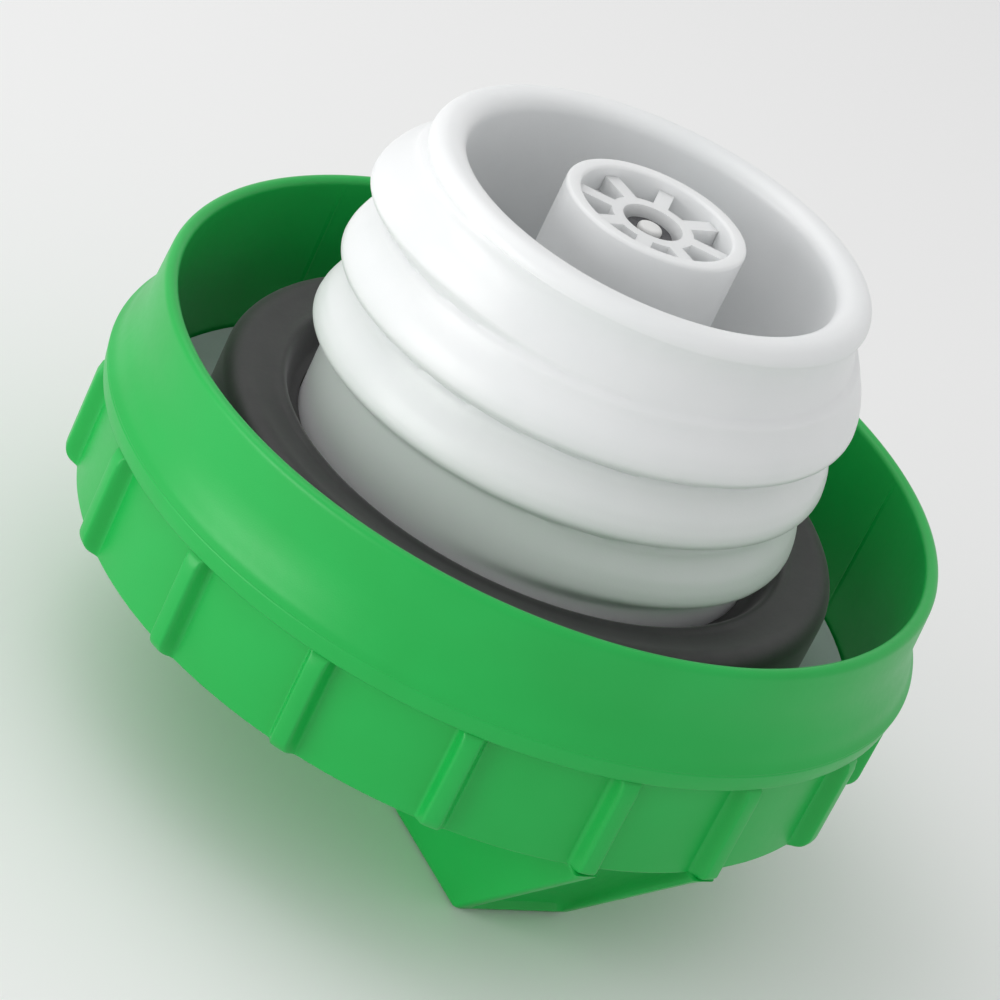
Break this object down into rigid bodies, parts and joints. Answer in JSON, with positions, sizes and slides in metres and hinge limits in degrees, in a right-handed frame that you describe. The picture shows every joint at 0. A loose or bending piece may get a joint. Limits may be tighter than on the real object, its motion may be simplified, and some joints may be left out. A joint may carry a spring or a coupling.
{
  "type": "insulated jug lid",
  "caption": "Screw-in lid of an insulated water jug, upside down: ribbed cap with grip bar, thick gasket and threaded hollow stopper with a spring relief valve.",
  "frame": {"origin": "on the screw axis, on the flat of the grip bar that the upturned lid stands on", "axes": "+Z along the screw axis towards the jug and the open mouth of the stopper; +X along the grip bar"},
  "size_m": [0.1087, 0.1086, 0.0811],
  "materials": {
    "green_cap": "satin moulded polypropylene, bright green",
    "foam": "closed-cell foam, off-white",
    "pale_liner": "satin moulded plastic, pale grey",
    "charcoal_gasket": "soft matt silicone rubber, charcoal",
    "milky_plastic": "satin milky white polypropylene",
    "white_plastic": "white acetal",
    "dark_seal": "black rubber",
    "spring_steel": "drawn stainless spring wire",
    "screw_steel": "stainless steel"
  },
  "bodies": {
    "lid": {"outer_cap": "green_cap", "insulation_foam": "foam", "cap_liner": "pale_liner", "gasket": "charcoal_gasket", "stopper_body": "milky_plastic", "stopper_ring_seal": "dark_seal", "valve_cage": "milky_plastic", "valve_spring": "spring_steel", "fixing_screw_1": "screw_steel", "fixing_screw_2": "screw_steel", "fixing_screw_3": "screw_steel", "screw_seal_1": "dark_seal", "screw_seal_2": "dark_seal", "screw_seal_3": "dark_seal"},
    "poppet": {"spring_clip": "spring_steel", "valve_poppet": "white_plastic", "poppet_seal": "dark_seal"}
  },
  "joints": [
    {"name": "relief_slide", "type": "slide", "parent": "lid", "child": "poppet", "axis": [0, 0, -1], "range_m": [0, 0.003], "stiffness_N_per_m": 900, "springref_m": -0.002, "deforming": ["valve_spring"]}
  ]
}
